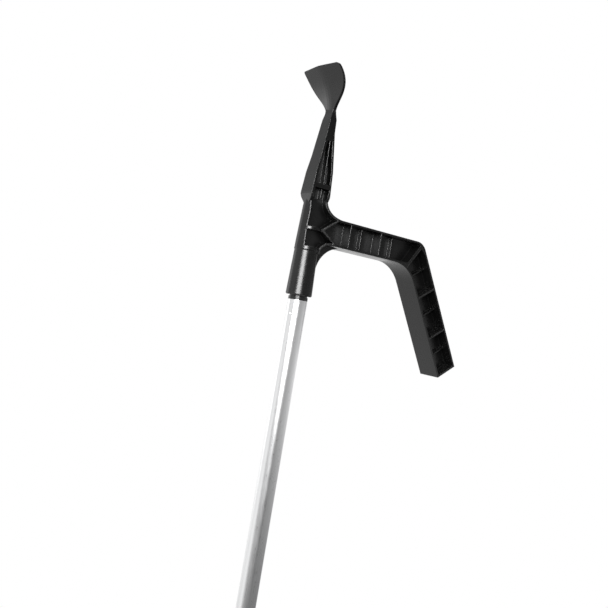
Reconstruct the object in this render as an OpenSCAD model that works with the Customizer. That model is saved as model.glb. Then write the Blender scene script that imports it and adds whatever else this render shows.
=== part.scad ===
// Reaching pole: a rigid moulded hook head on a two-section clamp-lock pole.
// Z runs up the pole, X points from the pole to the hook, Y is across the head.
// The origin is the centre of the hanging hole in the end cap.

/* [Pole] */
// outside diameter of the lower tube
outer_d = 25; // [24:0.5:26]
// length of the lower tube
outer_len = 560; // [480:10:640]
// outside diameter of the upper tube
inner_d = 22; // [21.5:0.5:22]
// length of the upper tube
inner_len = 535; // [470:5:540]
// height of the top of the upper tube above the hanging hole
tip_z = 975; // [940:5:990]
// wall thickness of the tubes
tube_wall = 0.9; // [0.7:0.1:0.9]

/* [Grip and cap] */
// length of the hand grip
grip_len = 140; // [100:5:180]
// outside diameter of the hand grip
grip_d = 32; // [30:1:36]
// radius of the hanging hole
hang_r = 4; // [3:0.5:5]

/* [Lock] */
// outside diameter of the lock nut
nut_d = 38; // [36:1:42]
// number of finger flutes on the lock nut
nut_flutes = 14; // [8:1:18]
// number of slits in the collet
collet_slits = 6; // [4:2:8]

/* [Head] */
// depth of the hook arm across the head
arm_depth = 31.5; // [28:0.5:33]
// height of the upper arm's section
arm_h = 30.5; // [28:0.1:32]
// width of the hanging arm's section
hook_w = 31.9; // [30:0.1:34]
// angle of the hanging arm from the pole
hook_lean = 32; // [30:0.5:34]
// half width of the blade at its top
blade_half_w = 31.8; // [28:0.2:33]
// radius of the blade's backward curve
blade_curve = 75; // [70:1:85]
// thickness of the blade at half its height
blade_t = 2.4; // [1.8:0.2:3]
// thickness of the section's outer walls
wall = 2.3; // [2:0.1:2.6]
// thickness of the cross ribs
rib = 2; // [1.6:0.1:2.4]

/* [Hidden] */
$fn = 96;
cap_z = 16;
outer_r = outer_d / 2;
outer_in = outer_r - tube_wall;
inner_r = inner_d / 2;
inner_in = inner_r - tube_wall;
outer_top = cap_z + outer_len;
inner_bottom = tip_z - inner_len;
thread_r = outer_r + 2.1;
thread_top = outer_top + 19;
nut_low = outer_top + 4.6;
nut_top = outer_top + 25;
wiper_low = outer_top + 19.4;
collet_low = outer_top + 3.2;
web = 1.6;
arm_low = 65.9;
arm_top = arm_low + arm_h;
hook_x = 184.6;
hook_end = 77.6;
corner_r = 18;
crook_r = 43;
neck_fillet = 20.5;
neck_fillet_x = 32.3;
root_x = 22.5;
gusset_x = 48;
gusset_z = 33.8;
gusset_r = 32.5;
root_r = 9.5;
lean_t = tan(hook_lean);
hook_in_low = hook_x - lean_t * arm_low;
hook_out_top = hook_x + hook_w / cos(hook_lean) - lean_t * arm_top;
turn_t = tan((90 - hook_lean) / 2);
blade_low = 212;
blade_foot = 201;
blade_top = 257.2;
blade_x = 2;
blade_thicken = 1.4;
fold = 5;
fold_flat = 4;
rivet_z = outer_top - 17;
rivet_hole = 1.6;

// the two holes that the rivets pass through
module rivet_holes() {
  for (a = [0, 180])
    rotate([0, 0, a]) translate([0, 0, rivet_z]) rotate([0, 90, 0]) cylinder(h = 20, r = rivet_hole);
}

// a tube along Z
module ring(z0, z1, r_out, r_in) {
  translate([0, 0, z0])
    difference() {
      cylinder(h = z1 - z0, r = r_out);
      translate([0, 0, -1]) cylinder(h = z1 - z0 + 2, r = r_in);
    }
}

// an XZ drawing given thickness along Y, centred on the head's middle plane
module slab(depth) {
  rotate([90, 0, 0]) linear_extrude(height = depth, center = true) children();
}

// an XZ drawing cut from both faces down to the middle web
module both_faces(inner, outer) {
  rotate([90, 0, 0]) {
    translate([0, 0, inner]) linear_extrude(height = outer - inner) children();
    translate([0, 0, -outer]) linear_extrude(height = outer - inner) children();
  }
}

// moves an XZ drawing to the hanging arm: x runs down the arm, y outwards across it
module on_hook() {
  translate([hook_x, 0]) rotate(hook_lean - 90) children();
}

// ---- head ----

// socket, and the boss that carries its taper up to the neck
module boss() {
  rotate_extrude()
    polygon([[0, 5.2], [13.9, 5.2], [14.8, 6.3], [13.2, 55.6], [13.8, 56.6], [11.6, 112], [0, 112]]);
}

// outline of the upper arm, its root fillets and the bend
module arm_outline() {
  crook_x = hook_in_low - crook_r * turn_t;
  corner_x = hook_out_top - corner_r * turn_t;
  difference() {
    union() {
      polygon([[4, arm_low], [hook_in_low, arm_low], [hook_out_top, arm_top], [4, arm_top]]);
      translate([8, arm_top - 1]) square([neck_fillet_x - 8, neck_fillet + 1]);
      translate([6, 54.3]) square([root_x - 6, arm_low + 1 - 54.3]);
      polygon([[crook_x, arm_low + 1], [crook_x, arm_low - 2], [hook_x - lean_t * 43.5, 43.5],
               [hook_x - lean_t * 43.5 + 4, 43.5], [hook_in_low + 4, arm_low + 1]]);
      on_hook() translate([-94.5, 0]) square([94.5 + hook_end, hook_w]);
    }
    translate([neck_fillet_x, arm_top + neck_fillet]) circle(r = neck_fillet);
    translate([root_x, arm_low - root_r]) circle(r = root_r);
    translate([13, 50]) square([root_x - 13, arm_low - root_r - 50]);
    translate([crook_x, arm_low - crook_r]) circle(r = crook_r);
    difference() {
      polygon([[corner_x, arm_top - corner_r], [corner_x, arm_top + 3], [hook_out_top + 1, arm_top + 3],
               [hook_out_top + corner_r * turn_t * sin(hook_lean) + 1,
                arm_top - corner_r * turn_t * cos(hook_lean)]]);
      translate([corner_x, arm_top - corner_r]) circle(r = corner_r);
    }
  }
}

module neck_outline() {
  polygon([[-10.4, 98], [-10.8, 108], [-13, 118], [-12.9, 121], [-11, 143], [-7.6, 162], [-2.3, 204],
           [-0.9, 211], [-0.6, 216], [-0.9, 220], [1.6, 220], [2.6, 217], [4.4, 213], [6.1, 205],
           [6.3, 190], [8.6, 172], [11.8, 146], [12.8, 119], [12.4, 98]]);
}

// half widths of the neck across Y, and their heights
neck_half = [[4.5, 98], [4.7, 108], [7, 111], [9.6, 114.5], [10.6, 118], [10.6, 121], [7.8, 204],
             [6.6, 212], [7.6, 220]];

// the point at share t of a curve that leaves a towards b and reaches d from c
function bend(a, b, c, d, t) =
  pow(1 - t, 3) * a + 3 * pow(1 - t, 2) * t * b + 3 * (1 - t) * t * t * c + t * t * t * d;

// half the blade's outline, from its foot on the middle line to its lip
module blade_outline() {
  steps = 16;
  foot_w = 6.8;
  flare = [for (i = [0:steps])
    bend([foot_w, blade_low + 1], [foot_w + 3.2, blade_low + 13.5],
         [blade_half_w - 0.2, blade_low + 21], [blade_half_w, blade_low + 41.5], i / steps)];
  polygon(concat([[0, blade_low], [foot_w - 0.4, blade_low]], flare,
    [[blade_half_w - 0.2, blade_top - 1.7], [blade_half_w - 0.9, blade_top - 0.8],
     [blade_half_w - 2.4, blade_top - 0.3], [0, blade_top]]));
}

// a curved plate from y0 to y1, thicker towards its foot
module blade_plate(y0, y1) {
  translate([-blade_curve, y0, blade_foot])
    rotate([-90, 0, 0])
      difference() {
        translate([blade_thicken, 2, 0]) cylinder(h = y1 - y0, r = blade_curve + blade_t / 2, $fn = 180);
        translate([0, 0, -1]) cylinder(h = y1 - y0 + 2, r = blade_curve - blade_t / 2, $fn = 180);
      }
}

// leans its child forwards as it goes out along Y
module lean_out(angle) {
  multmatrix([[1, tan(angle), 0, 0], [0, 1, 0, 0], [0, 0, 1, 0], [0, 0, 0, 1]]) children();
}

// half the blade: its plate leans forwards in two small steps beside the middle line
module blade_half() {
  intersection() {
    translate([blade_x, 0, 0])
      union() {
        lean_out(fold / 3) blade_plate(-1, fold_flat);
        translate([fold_flat * tan(fold / 3), fold_flat, 0]) lean_out(fold) blade_plate(0, 40);
      }
    rotate([90, 0, 90]) translate([0, 0, -50]) linear_extrude(height = 60) blade_outline();
  }
}

// cells between the ribs of the boss and neck
module neck_cells() {
  difference() {
    polygon([[-9.8, 60.4], [24.3, 60.4], [24.3, 69], [12.3, 79.2], [-9.8, 79.2]]);
    translate([root_x, arm_low - root_r]) circle(r = root_r + wall);
  }
  difference() {
    polygon([[-9.6, 82.4], [11.3, 82.4], [26.2, 95.8], [20, 104], [11, 112], [10.4, 126.2],
             [-9.6, 126.2], [-8.6, 100]]);
    translate([neck_fillet_x, arm_top + neck_fillet]) circle(r = neck_fillet + wall);
  }
  polygon([[-9.2, 131], [10.2, 131], [9.4, 146], [6, 172], [4.9, 180], [-1.4, 180], [-4.9, 162]]);
}

// cells between the ribs of the upper arm and the hook
module arm_cells() {
  top = arm_top - wall;
  low = arm_low + wall;
  polygon([[14, 81.3], [27.4, top], [45.4, top], [45.4, low], [28.4, low]]);
  translate([45.4 + rib, low]) square([92.7 - 46.4 - rib, top - low]);
  difference() {
    union() {
      polygon([[91.7 + rib, low], [141, low], [143, low + 2], [157.2, top - 2.5], [155.5, top],
               [91.7 + rib, top]]);
      polygon([[160.4, top - 5.2], [145, 68], [139, 59], [148, 46], [190, 62], [hook_out_top + 2, 86]]);
      on_hook() translate([-66, wall]) square([33, hook_w - 2 * wall]);
    }
    translate([hook_in_low - crook_r * turn_t, arm_low - crook_r]) circle(r = crook_r + wall);
    on_hook() translate([-33.5, -20]) square([60, 80]);
    on_hook() translate([-120, hook_w - wall]) square([140, 20]);
    on_hook() translate([-62, -20]) square([60, 20 + wall]);
  }
  on_hook() translate([-33.5 + rib, wall]) square([54, hook_w - 2 * wall]);
  on_hook() translate([22.5 + rib, wall]) square([hook_end - wall - 22.5 - rib, hook_w - 2 * wall]);
}

// low stiffening ribs that stand on the web
module low_ribs() {
  translate([68.9, arm_low + 1]) square([1.6, arm_h - 2]);
  translate([117.2, arm_low + 1]) square([1.6, arm_h - 2]);
  for (s = [-60.3, -5.3, 49.5]) on_hook() translate([s, 1]) square([1.6, hook_w - 2]);
}

module head() {
  color([0.07, 0.07, 0.07])
  translate([0, 0, tip_z])
  difference() {
    union() {
      difference() {
        union() {
          boss();
          intersection() {
            slab(arm_depth) arm_outline();
            translate([0, 0, -100])
              linear_extrude(height = 260)
                polygon([[-6, -7.4], [8.6, -7.4], [27, -arm_depth / 2], [260, -arm_depth / 2],
                         [260, arm_depth / 2], [27, arm_depth / 2], [8.6, 7.4], [-6, 7.4]]);
          }
          intersection() {
            slab(24) neck_outline();
            rotate([90, 0, 90]) translate([0, 0, -30])
              linear_extrude(height = 60)
                polygon([for (side = [1, -1], k = [0:len(neck_half) - 1])
                  let (p = neck_half[side > 0 ? k : len(neck_half) - 1 - k]) [side * p[0], p[1]]]);
          }
          blade_half();
          mirror([0, 1, 0]) blade_half();
        }
        both_faces(web, 20) neck_cells();
        both_faces(web, 20) arm_cells();
      }
      slab(14) low_ribs();
      slab(17) polygon([[2.4, 128], [3.8, 128], [3.8, 132], [2.6, 181], [1.2, 181], [2.4, 132]]);
      slab(13) polygon([[2.4, 115], [3.8, 115], [3.8, 128], [2.4, 128]]);
      slab(2 * web)
        difference() {
          polygon([[8, 36], [gusset_x, 36], [gusset_x, arm_low + 1], [8, arm_low + 1]]);
          translate([gusset_x, gusset_z]) circle(r = gusset_r);
        }
    }
    translate([0, 0, 5]) cylinder(h = 36.5, r = 9.4);
  }
}

// ---- upper section ----

module tip_plug() {
  color([0.09, 0.09, 0.09])
  translate([0, 0, tip_z])
  difference() {
    union() {
      translate([0, 0, -30]) cylinder(h = 30, r = inner_in - 0.9);
      for (z = [-27, -8]) translate([0, 0, z]) cylinder(h = 6, r = inner_in);
      cylinder(h = 3.7, r = inner_r - 0.05);
      cylinder(h = 5.2, r = 10);
      cylinder(h = 38, r = 8);
      for (z = [9:4:33]) translate([0, 0, z]) cylinder(h = 2, r = 9);
    }
    translate([0, 0, -31]) cylinder(h = 60, r = 5.5);
  }
}

module inner_tube() {
  color([0.8, 0.81, 0.82])
  difference() {
    ring(inner_bottom, tip_z, inner_r, inner_in);
    for (a = [86, 206, 326])
      rotate([0, 0, a]) translate([inner_r + 1.35, 0, tip_z - 15.5]) sphere(r = 1.9, $fn = 32);
  }
}

module guide_bush() {
  color([0.12, 0.12, 0.12])
  difference() {
    union() {
      translate([0, 0, inner_bottom]) cylinder(h = 26, r = inner_in);
      translate([0, 0, inner_bottom - 14]) cylinder(h = 14, r = outer_in - 0.4);
    }
    ring(inner_bottom - 10, inner_bottom - 4, outer_r, 9.6);
    translate([0, 0, inner_bottom - 15]) cylinder(h = 45, r = 7);
  }
}

module slide_ring() {
  color([0.85, 0.85, 0.82])
  difference() {
    ring(inner_bottom - 9.9, inner_bottom - 4.1, outer_in - 0.06, 9.65);
    translate([0, -0.6, inner_bottom - 11]) cube([20, 1.2, 10]);
  }
}

// ---- lock ----

module wiper_ring() {
  color([0.2, 0.2, 0.2])
  ring(wiper_low, wiper_low + 2.6, thread_r - 0.6, inner_r + 0.06);
}

module lock_nut() {
  color([0.1, 0.1, 0.1])
  difference() {
    translate([0, 0, nut_low])
      union() {
        cylinder(h = nut_top - nut_low - 3, r = nut_d / 2);
        translate([0, 0, nut_top - nut_low - 3]) cylinder(h = 3, r1 = nut_d / 2, r2 = nut_d / 2 - 3);
      }
    translate([0, 0, nut_low - 1]) cylinder(h = wiper_low - nut_low + 1, r = thread_r + 0.08);
    translate([0, 0, wiper_low - 0.1]) cylinder(h = 2.8, r = thread_r - 0.5);
    translate([0, 0, nut_top - 10]) cylinder(h = 11, r = inner_r + 0.4);
    for (i = [0:nut_flutes - 1])
      rotate([0, 0, i * 360 / nut_flutes])
        translate([nut_d / 2 + 1.6, 0, nut_low + 3]) cylinder(h = 40, r = 2.6, $fn = 32);
  }
}

module collet() {
  color([0.86, 0.86, 0.84])
  difference() {
    translate([0, 0, collet_low])
      union() {
        cylinder(h = 9, r = inner_r + 1.2);
        translate([0, 0, 9]) cylinder(h = 6.5, r1 = inner_r + 1.2, r2 = inner_r + 2);
      }
    translate([0, 0, collet_low - 1]) cylinder(h = 20, r = inner_r + 0.06);
    for (i = [0:collet_slits - 1])
      rotate([0, 0, i * 360 / collet_slits]) translate([5, -0.6, collet_low + 3]) cube([15, 1.2, 20]);
  }
}

module lock_body() {
  color([0.1, 0.1, 0.1])
  difference() {
    union() {
      translate([0, 0, outer_top - 34]) cylinder(h = 38, r = outer_r + 2.5);
      translate([0, 0, outer_top - 1]) cylinder(h = 5, r = nut_d / 2 - 0.8);
      translate([0, 0, outer_top]) cylinder(h = thread_top - outer_top, r = thread_r);
    }
    translate([0, 0, outer_top - 35]) cylinder(h = 35, r = outer_r);
    translate([0, 0, outer_top - 1]) cylinder(h = 60, r = inner_r + 0.08);
    translate([0, 0, outer_top + 3]) cylinder(h = 30, r = inner_r + 1.3);
    translate([0, 0, outer_top + 12]) cylinder(h = 7.1, r1 = inner_r + 1.3, r2 = inner_r + 2.4);
    rivet_holes();
  }
}

module rivets() {
  color([0.75, 0.75, 0.75])
  for (a = [0, 180])
    rotate([0, 0, a])
      translate([0, 0, rivet_z]) rotate([0, 90, 0]) {
        translate([0, 0, outer_in + 0.1]) cylinder(h = outer_r + 2.5 - outer_in, r = rivet_hole - 0.05);
        translate([0, 0, outer_r + 2.45]) cylinder(h = 1, r1 = 2.9, r2 = 2);
      }
}

// ---- lower section ----

module outer_tube() {
  color([0.8, 0.81, 0.82])
  difference() {
    ring(cap_z, outer_top, outer_r, outer_in);
    rivet_holes();
  }
}

module grip() {
  color([0.06, 0.06, 0.06])
  difference() {
    translate([0, 0, cap_z + 1]) {
      cylinder(h = 3, r1 = grip_d / 2 - 2, r2 = grip_d / 2);
      translate([0, 0, 3]) cylinder(h = grip_len - 6, r = grip_d / 2);
      translate([0, 0, grip_len - 3]) cylinder(h = 3, r1 = grip_d / 2, r2 = grip_d / 2 - 2);
    }
    translate([0, 0, cap_z]) cylinder(h = grip_len + 5, r = outer_r);
    for (z = [cap_z + 14:8:cap_z + grip_len - 10]) ring(z, z + 2.4, grip_d, grip_d / 2 - 1);
  }
}

module end_cap() {
  color([0.1, 0.1, 0.1])
  difference() {
    union() {
      rotate([90, 0, 0]) cylinder(h = 9, r = 12, center = true);
      translate([-12, -4.5, 0]) cube([24, 9, 12]);
      translate([0, 0, 9]) cylinder(h = 3, r1 = 13, r2 = outer_r + 2);
      translate([0, 0, 12]) cylinder(h = 4, r = outer_r + 2);
      translate([0, 0, 15]) cylinder(h = 31, r = outer_in - 0.8);
      for (z = [20, 32]) translate([0, 0, z]) cylinder(h = 5, r = outer_in);
    }
    rotate([90, 0, 0]) cylinder(h = 30, r = hang_r, center = true);
    translate([0, 0, 18]) cylinder(h = 40, r = 7);
  }
}

head();
tip_plug();
inner_tube();
guide_bush();
slide_ring();
wiper_ring();
lock_nut();
collet();
lock_body();
rivets();
outer_tube();
grip();
end_cap();
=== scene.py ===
import math

import bmesh
import bpy
from mathutils import Matrix, Vector


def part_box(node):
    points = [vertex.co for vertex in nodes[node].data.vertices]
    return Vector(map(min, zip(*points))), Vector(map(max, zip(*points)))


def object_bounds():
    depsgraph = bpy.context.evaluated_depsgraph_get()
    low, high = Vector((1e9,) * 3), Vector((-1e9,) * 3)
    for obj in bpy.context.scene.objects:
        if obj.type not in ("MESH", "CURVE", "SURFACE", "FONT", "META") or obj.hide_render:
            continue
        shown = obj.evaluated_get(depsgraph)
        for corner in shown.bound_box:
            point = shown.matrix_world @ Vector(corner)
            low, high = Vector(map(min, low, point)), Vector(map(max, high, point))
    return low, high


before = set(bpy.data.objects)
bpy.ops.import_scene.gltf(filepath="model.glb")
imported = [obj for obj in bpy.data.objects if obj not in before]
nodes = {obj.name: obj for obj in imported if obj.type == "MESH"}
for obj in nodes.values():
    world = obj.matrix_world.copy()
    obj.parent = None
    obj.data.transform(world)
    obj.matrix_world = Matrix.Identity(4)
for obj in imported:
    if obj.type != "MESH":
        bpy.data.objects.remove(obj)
cad_low, cad_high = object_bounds()

UP = Vector((0, 0, 1))

# ---- places taken from the frame ----
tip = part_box("inner_tube")[1].z              # top of the upper tube
floor_z = cad_low[2]                         # bottom of the end cap

# ---- camera ----
# The picture looks at the head from its blade side, level with the top of the pole,
# and is turned so that the pole leans to the right.
CAM_DISTANCE = 0.800                         # from the pole's axis
CAM_AZIMUTH = math.radians(35.3)             # from -Y toward -X
CAM_DROP = 0.0146                            # below the tip
CAM_YAW = math.radians(0.55)
CAM_TILT = math.radians(0.82)
CAM_ROLL = math.radians(9.6)
CAM_LENS = 42.54                             # mm, on a sensor of SENSOR_WIDTH mm
SENSOR_WIDTH = 36
NEAREST, FARTHEST = 0.01, 60

TO_CAMERA = Vector((-math.sin(CAM_AZIMUTH), -math.cos(CAM_AZIMUTH), 0))
TO_RIGHT = Vector((math.cos(CAM_AZIMUTH), -math.sin(CAM_AZIMUTH), 0))


def make_camera():
    """A camera looking along the horizontal at the pole's tip, rolled so that the pole leans."""
    heading = CAM_AZIMUTH + CAM_YAW
    ahead = Vector((math.sin(heading) * math.cos(CAM_TILT),
                    math.cos(heading) * math.cos(CAM_TILT),
                    math.sin(CAM_TILT)))
    level = ahead.cross(UP).normalized()
    rise = level.cross(ahead)
    right = math.cos(CAM_ROLL) * level + math.sin(CAM_ROLL) * rise
    up = math.cos(CAM_ROLL) * rise - math.sin(CAM_ROLL) * level
    turn = Matrix((right, up, -ahead)).transposed().to_4x4()
    data = bpy.data.cameras.new("camera")
    data.sensor_width = SENSOR_WIDTH
    data.lens = CAM_LENS
    data.clip_start, data.clip_end = NEAREST, FARTHEST
    cam = bpy.data.objects.new("camera", data)
    place = TO_CAMERA * CAM_DISTANCE
    place.z = tip - CAM_DROP
    cam.matrix_world = Matrix.Translation(place) @ turn
    bpy.context.scene.collection.objects.link(cam)
    bpy.context.scene.camera = cam


# ---- materials ----
# how well a rounded normal agrees with the flat one: on an edge, and on an open face
ON_EDGE, OFF_EDGE = 0.80, 0.99
# the share of open air that a point sees: deep in a recess, and on an open face
IN_RECESS, IN_OPEN = 0.35, 0.85
RECESS_REACH = 0.012                         # how far away a wall still closes a recess in
PAINTED_RECESS_SHADE = 0.2                            # painted shade: a recess's colour as a share of the plastic's
RECESS_ROUGH = 0.08
FLOW_DEPTH = 0.00012                         # height of the slow waves in a moulded face


class Finish:
    """A Principled material whose detail comes from noise in the object's own metres."""

    def __init__(self, name, **constants):
        self.material = bpy.data.materials.new(name)
        self.material.use_nodes = True
        self.tree = self.material.node_tree
        self.shader = self.tree.nodes["Principled BSDF"]
        for socket, value in constants.items():
            self.shader.inputs[socket.replace("_", " ")].default_value = value
        self.place = self.node("ShaderNodeTexCoord").outputs["Object"]

    def node(self, kind, links=None, **settings):
        """A node with its settings, and with values or links put in its inputs."""
        made = self.tree.nodes.new(kind)
        for name, value in settings.items():
            setattr(made, name, value)
        for key, value in (links or {}).items():
            if isinstance(value, bpy.types.NodeSocket):
                self.tree.links.new(value, made.inputs[key])
            else:
                made.inputs[key].default_value = value
        return made

    def noise(self, size, detail=3.0, stretch=(1, 1, 1), rough=0.55):
        """Noise from 0 to 1 whose features are about size metres, drawn out by stretch."""
        moved = self.node("ShaderNodeMapping",
                          {"Vector": self.place, "Scale": [1 / s for s in stretch]}).outputs[0]
        return self.node("ShaderNodeTexNoise", {"Vector": moved, "Scale": 1 / size,
                                                "Detail": detail, "Roughness": rough}).outputs["Fac"]

    def spread(self, value, low, high, start=0.3, stop=0.7):
        """value between start and stop carried to low and high."""
        return self.node("ShaderNodeMapRange", {"Value": value, "From Min": start, "From Max": stop,
                                                "To Min": low, "To Max": high}).outputs[0]

    def blend(self, amount, first, second):
        """A colour between two, by amount."""
        return self.node("ShaderNodeMix", {0: amount, 6: first, 7: second}, data_type="RGBA").outputs[2]

    def calc(self, operation, first, second):
        """Two values put together, such as by ADD or MULTIPLY."""
        return self.node("ShaderNodeMath", {0: first, 1: second}, operation=operation).outputs[0]

    def rounded(self, radius):
        """Normals rounded over the edges, and a mask that is 1 on those edges."""
        soft = self.node("ShaderNodeBevel", {"Radius": radius}, samples=6).outputs[0]
        flat = self.node("ShaderNodeNewGeometry").outputs["Normal"]
        along = self.node("ShaderNodeVectorMath", {0: soft, 1: flat},
                          operation="DOT_PRODUCT").outputs["Value"]
        return soft, self.spread(along, 1, 0, start=ON_EDGE, stop=OFF_EDGE)

    def cavity(self, reach):
        """A mask that is 1 deep in a recess and 0 on open faces."""
        open_air = self.node("ShaderNodeAmbientOcclusion", {"Distance": reach}, samples=8,
                             only_local=True).outputs["AO"]
        return self.spread(open_air, 1, 0, start=IN_RECESS, stop=IN_OPEN)

    def bump(self, height, depth, normal=None):
        """A normal raised by height, at most depth metres."""
        links = {"Height": height, "Distance": depth, "Strength": 1.0}
        if normal is not None:
            links["Normal"] = normal
        return self.node("ShaderNodeBump", links).outputs[0]

    def finish(self, **sockets):
        """Links each value to the shader's socket of that name."""
        for name, value in sockets.items():
            self.tree.links.new(value, self.shader.inputs[name.replace("_", " ")])
        return self.material


def grey(value, warm=0.0):
    """A grey colour, a little warmer or colder by warm."""
    return (value * (1 + warm), value, value * (1 - warm), 1)


def moulded(name, tone, gloss, grain, edge, wear=0.25, grain_size=0.0003):
    """Moulded plastic: slow flow marks, a fine grain, painted shade in recesses and slightly worn
    edges.
    """
    f = Finish(name, IOR=1.53, Metallic=0.0)
    normal, edges = f.rounded(edge)
    flow = f.noise(0.035, stretch=(1, 1, 3))
    fine = f.noise(grain_size, detail=2)
    scuff = f.noise(0.004, detail=5, rough=0.7)
    # recess mask: it paints shade into the colour and adds roughness in recesses
    recess_painted_shade_and_rough = f.cavity(RECESS_REACH)
    worn = f.calc("MULTIPLY", edges, f.spread(scuff, 0, wear))
    fresh = f.blend(f.spread(flow, 0, 1), grey(tone), grey(tone * 1.35))
    colour = f.blend(worn, fresh, grey(tone * 3 + 0.01))
    # painted shade: recesses are darkened toward a fifth of the plastic's colour, where real shade
    # falls
    colour = f.blend(recess_painted_shade_and_rough, colour, grey(tone * PAINTED_RECESS_SHADE))
    rough = f.calc("ADD", f.spread(flow, gloss - 0.03, gloss + 0.04), f.spread(scuff, -0.02, 0.06))
    rough = f.calc("ADD", rough, f.spread(recess_painted_shade_and_rough, 0, RECESS_ROUGH, start=0, stop=1))
    normal = f.bump(fine, grain, f.bump(flow, FLOW_DEPTH, normal))
    return f.finish(Base_Color=colour, Roughness=rough, Normal=normal)


def drawn_tube(name):
    """Satin anodised aluminium, with the fine lines of a drawn tube along its length."""
    f = Finish(name, Metallic=1.0, IOR=1.45)
    lines = f.noise(0.0005, detail=4, stretch=(1, 1, 400), rough=0.6)
    cloud = f.noise(0.03, stretch=(1, 1, 4))
    rub = f.noise(0.006, detail=6, stretch=(1, 1, 2.5), rough=0.75)
    colour = f.blend(f.spread(cloud, 0, 1), (0.86, 0.865, 0.87, 1), (0.90, 0.905, 0.91, 1))
    rough = f.calc("ADD", f.spread(lines, 0.26, 0.31), f.spread(rub, -0.015, 0.035))
    return f.finish(Base_Color=colour, Roughness=rough, Normal=f.bump(lines, 0.000006))


def turned_metal(name):
    """Rivet aluminium, with turning marks and edges lighter than the faces."""
    f = Finish(name, Metallic=1.0)
    normal, edges = f.rounded(0.0002)
    marks = f.noise(0.0004, detail=4)
    colour = f.blend(edges, (0.62, 0.62, 0.63, 1), (0.80, 0.80, 0.81, 1))
    return f.finish(Base_Color=colour, Roughness=f.spread(marks, 0.28, 0.42),
                    Normal=f.bump(marks, 0.00002, normal))


def rubber(name, tone, grain=0.00006):
    """Matt rubber: a pebbled skin, dusty where it stands proud and duller in patches."""
    f = Finish(name, IOR=1.5, Sheen_Weight=0.12, Sheen_Roughness=0.5)
    normal, edges = f.rounded(0.0006)
    pebble = f.noise(0.0009, detail=3, rough=0.6)
    patch = f.noise(0.02, detail=4)
    dusty = f.calc("MULTIPLY", edges, f.spread(patch, 0.1, 0.6))
    fresh = f.blend(f.spread(patch, 0, 1), grey(tone), grey(tone * 1.5))
    colour = f.blend(dusty, fresh, grey(tone * 3, 0.03))
    return f.finish(Base_Color=colour, Roughness=f.spread(patch, 0.58, 0.72),
                    Normal=f.bump(pebble, grain, normal))


def acetal(name):
    """Natural acetal: waxy and off-white, a little yellower in places."""
    f = Finish(name, IOR=1.48, Subsurface_Weight=0.15, Subsurface_Scale=0.001)
    normal, edges = f.rounded(0.0003)
    cloud = f.noise(0.008, detail=4)
    fine = f.noise(0.0004, detail=2)
    colour = f.blend(f.spread(cloud, 0, 1), (0.72, 0.71, 0.66, 1), (0.78, 0.76, 0.69, 1))
    return f.finish(Base_Color=colour, Roughness=f.spread(cloud, 0.32, 0.44),
                    Normal=f.bump(fine, 0.00001, normal))


def paint(material, *names):
    """Puts one material on every slot of the named CAD nodes."""
    for name in names:
        for slot in nodes[name].material_slots:
            slot.material = material


def paint_all():
    """Gives every CAD node its material."""
    head = moulded("head_black", tone=0.0028, gloss=0.26, grain=0.000005, edge=0.0012,
                   wear=0.4, grain_size=0.0006)
    paint(head, "head")
    plug = moulded("plug_black", tone=0.003, gloss=0.24, grain=0.000005, edge=0.0003)
    paint(plug, "tip_plug", "guide_bush", "end_cap")
    lock = moulded("lock_black", tone=0.008, gloss=0.42, grain=0.00002, edge=0.0005, wear=0.4)
    paint(lock, "lock_body", "lock_nut")
    paint(drawn_tube("drawn_aluminium"), "inner_tube", "outer_tube")
    paint(turned_metal("rivet_aluminium"), "rivets")
    paint(rubber("grip_black", tone=0.016), "grip")
    paint(rubber("wiper_black", tone=0.02, grain=0.00003), "wiper_ring")
    paint(acetal("acetal_natural"), "collet", "slide_ring")


# ---- floor ----
FLOOR_RADIUS = 0.6
FLOOR_GAP = 0.0002                           # the floor lies this far under the end cap
FLOOR_CLEAR = 0.20                           # the floor keeps its own shade this far from the pole
FLOOR_WHITE = 0.55                           # from here out it is as white as the room


def make_floor():
    """A pale round floor that fades into the white room around it."""
    mesh = bpy.data.meshes.new("floor")
    bm = bmesh.new()
    bmesh.ops.create_circle(bm, cap_ends=True, radius=FLOOR_RADIUS, segments=96)
    bm.to_mesh(mesh)
    bm.free()
    floor = bpy.data.objects.new("floor", mesh)
    floor.location.z = floor_z - FLOOR_GAP
    bpy.context.scene.collection.objects.link(floor)
    f = Finish("floor_pale", Roughness=0.65, IOR=1.3, Emission_Color=(1, 1, 1, 1))
    far = f.node("ShaderNodeVectorMath", {0: f.place}, operation="LENGTH").outputs["Value"]
    white = f.node("ShaderNodeMapRange",
                   {"Value": far, "From Min": FLOOR_CLEAR, "From Max": FLOOR_WHITE},
                   interpolation_type="SMOOTHSTEP").outputs[0]
    mottle = f.noise(0.05, detail=4)
    pale = f.blend(f.spread(mottle, 0, 1), (0.80, 0.80, 0.80, 1), (0.83, 0.83, 0.83, 1))
    colour = f.blend(white, pale, (0, 0, 0, 1))
    floor.data.materials.append(f.finish(Base_Color=colour, Emission_Strength=white))


# ---- light ----
KEY_SIDE = -8                                # degrees to the right of the camera
KEY_FAR = 2.0
KEY_RISE = 0.03                              # its low edge is this far above the tip
KEY_WIDTH, KEY_HEIGHT = 1.2, 1.1
KEY_RADIANCE = 20
TOP_Z = 3.4
TOP_SIZE = 2.4
TOP_RADIANCE = 2.6

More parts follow.
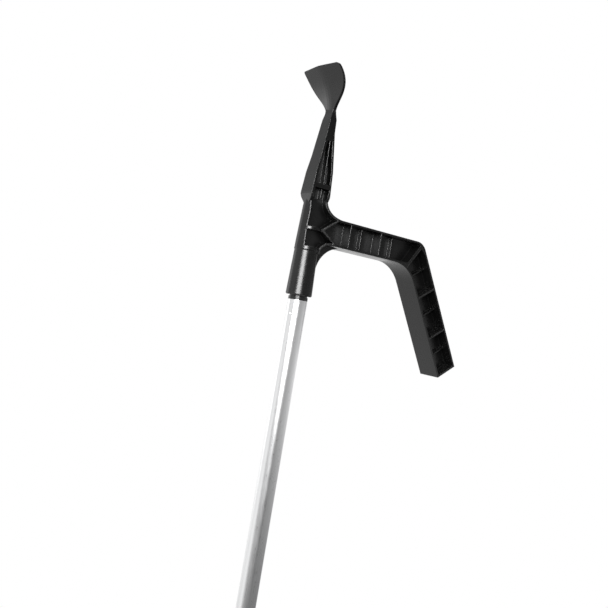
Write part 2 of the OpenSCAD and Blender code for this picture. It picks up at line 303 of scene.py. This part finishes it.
# Each side of the room is bright by how far a direction points toward the middle of that side,
# and by how far it points up, both from -1 to 1. The two brightnesses are multiplied.
LEFT_SIDE = -118                             # degrees to the right of the camera
LEFT_WALL = [(-1, 0.05), (-0.2, 0.1), (0.19, 0.32), (0.53, 0.9),
             (0.88, 0.75), (0.946, 0.68), (0.988, 1.35), (1, 2.4)]
LEFT_BY_HEIGHT = [(-1, 0.85), (-0.6, 0.95), (-0.42, 1.05), (-0.26, 1.2),
                  (0, 1.0), (0.12, 0.85), (1, 0.8)]
RIGHT_SIDE = 120
RIGHT_WALL = [(-1, 0.0), (0, 0.12), (0.16, 0.5), (0.5, 0.7), (0.81, 0.75), (0.99, 0.85)]
RIGHT_BY_HEIGHT = [(-1, 0.03), (-0.38, 0.07), (-0.2, 0.4), (-0.06, 1.0),
                   (0, 1.0), (0.06, 0.2), (0.12, 0.08), (1, 0.06)]


def around(degrees):
    """A level direction, turned to the right of the camera as seen from the pole."""
    angle = math.radians(degrees)
    return math.cos(angle) * TO_CAMERA + math.sin(angle) * TO_RIGHT


def soft_light(name, place, aim, width, height, radiance):
    """A rectangular soft light, given by its own brightness."""
    data = bpy.data.lights.new(name, "AREA")
    data.shape = "RECTANGLE"
    data.size, data.size_y = width, height
    data.energy = radiance * width * height * math.pi
    lamp = bpy.data.objects.new(name, data)
    turn = (aim - place).to_track_quat("-Z", "Y").to_matrix().to_4x4()
    lamp.matrix_world = Matrix.Translation(place) @ turn
    lamp.visible_camera = False
    bpy.context.scene.collection.objects.link(lamp)


def make_lights():
    """A broad key light beside the camera, above the tip, and a soft light overhead."""
    key = around(KEY_SIDE) * KEY_FAR + UP * (tip + KEY_RISE + KEY_HEIGHT / 2)
    soft_light("key", key, UP * key.z, KEY_WIDTH, KEY_HEIGHT, KEY_RADIANCE)
    soft_light("top", UP * TOP_Z, Vector((0, 0, 0)), TOP_SIZE, TOP_SIZE, TOP_RADIANCE)


def make_room():
    """A white room behind and to the left, dark on the camera's side and low on the right."""
    world = bpy.data.worlds.new("room")
    world.use_nodes = True
    tree = world.node_tree
    sky = tree.nodes["Background"]
    toward = tree.nodes.new("ShaderNodeTexCoord").outputs["Generated"]

    def toward_side(direction, stops):
        """Brightness by how far a direction points to one side."""
        along = tree.nodes.new("ShaderNodeVectorMath")
        along.operation = "DOT_PRODUCT"
        tree.links.new(toward, along.inputs[0])
        along.inputs[1].default_value = direction
        share = tree.nodes.new("ShaderNodeMapRange")
        share.inputs["From Min"].default_value = -1
        tree.links.new(along.outputs["Value"], share.inputs["Value"])
        ramp = tree.nodes.new("ShaderNodeValToRGB")
        tree.links.new(share.outputs[0], ramp.inputs[0])
        steps = ramp.color_ramp.elements
        while len(steps) < len(stops):
            steps.new(0.5)
        for step, (at, level) in zip(steps, stops):
            step.position = (at + 1) / 2
            step.color = (level, level, level, 1)
        return ramp.outputs[0]

    def combine(operation, first, second):
        """Two brightnesses put together."""
        made = tree.nodes.new("ShaderNodeMath")
        made.operation = operation
        tree.links.new(first, made.inputs[0])
        tree.links.new(second, made.inputs[1])
        return made.outputs[0]

    left = combine("MULTIPLY", toward_side(around(LEFT_SIDE), LEFT_WALL),
                   toward_side(UP, LEFT_BY_HEIGHT))
    right = combine("MULTIPLY", toward_side(around(RIGHT_SIDE), RIGHT_WALL),
                    toward_side(UP, RIGHT_BY_HEIGHT))
    light = combine("ADD", left, right)
    seen = tree.nodes.new("ShaderNodeMix")
    tree.links.new(tree.nodes.new("ShaderNodeLightPath").outputs["Is Camera Ray"], seen.inputs[0])
    tree.links.new(light, seen.inputs[2])
    seen.inputs[3].default_value = 1.0       # the room itself looks plain white
    tree.links.new(seen.outputs[0], sky.inputs["Strength"])
    sky.inputs["Color"].default_value = (1, 1, 1, 1)
    bpy.context.scene.world = world
    bpy.context.scene.view_settings.view_transform = "Standard"


make_camera()
paint_all()
make_floor()
make_lights()
make_room()
